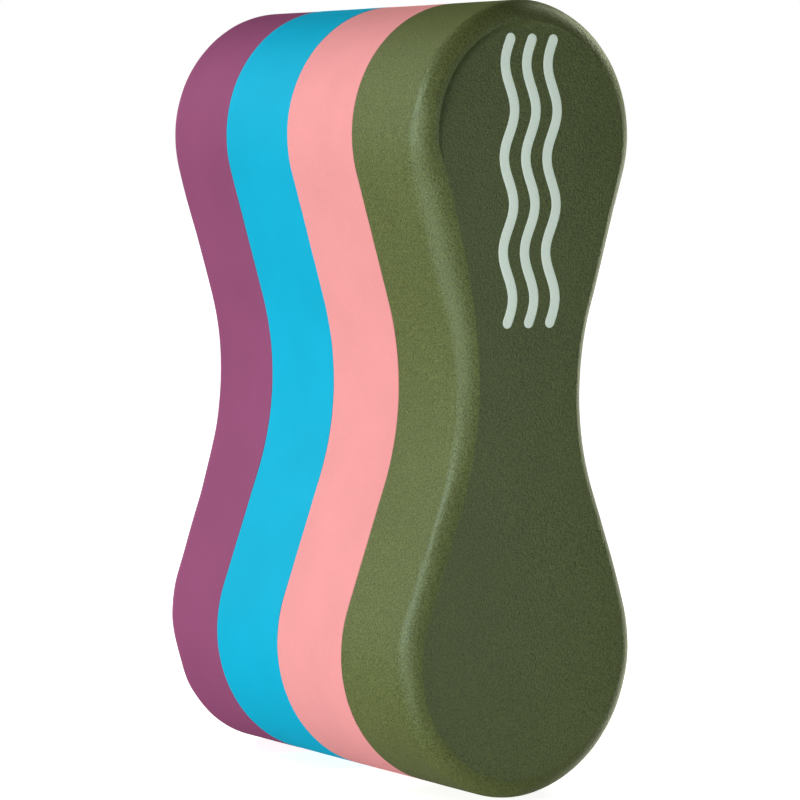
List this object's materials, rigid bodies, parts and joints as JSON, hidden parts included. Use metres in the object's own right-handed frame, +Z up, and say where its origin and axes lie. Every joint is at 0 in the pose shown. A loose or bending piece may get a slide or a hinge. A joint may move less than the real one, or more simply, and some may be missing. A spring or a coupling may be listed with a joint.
{
  "type": "pull buoy",
  "caption": "Hourglass swimming float of laminated coloured foam with one lobe slightly larger, gripped between the thighs at its waist to hold the legs up, with a printed wave mark on its front face.",
  "frame": {"origin": "on the floor under the middle of the buoy as it stands on one lobe, at the centre of its width and depth", "axes": "+Z up along the buoy's length, X across the lobes, +Y from the front face to the back face"},
  "size_m": [0.0852, 0.1456, 0.24],
  "materials": {
    "foam_olive": "matte, finely pebbled closed-cell foam",
    "foam_coral": "matte, smooth cut closed-cell foam",
    "foam_cyan": "matte, smooth cut closed-cell foam",
    "foam_plum": "matte, smooth cut closed-cell foam",
    "glue": "dried contact adhesive",
    "ink": "matte screen-print ink"
  },
  "bodies": {
    "root": {"front_layer": "foam_olive", "inner_front_layer": "foam_coral", "inner_back_layer": "foam_cyan", "back_layer": "foam_plum", "front_bond_film": "glue", "middle_bond_film": "glue", "back_bond_film": "glue", "wave_print_left": "ink", "wave_print_middle": "ink", "wave_print_right": "ink"}
  },
  "joints": []
}
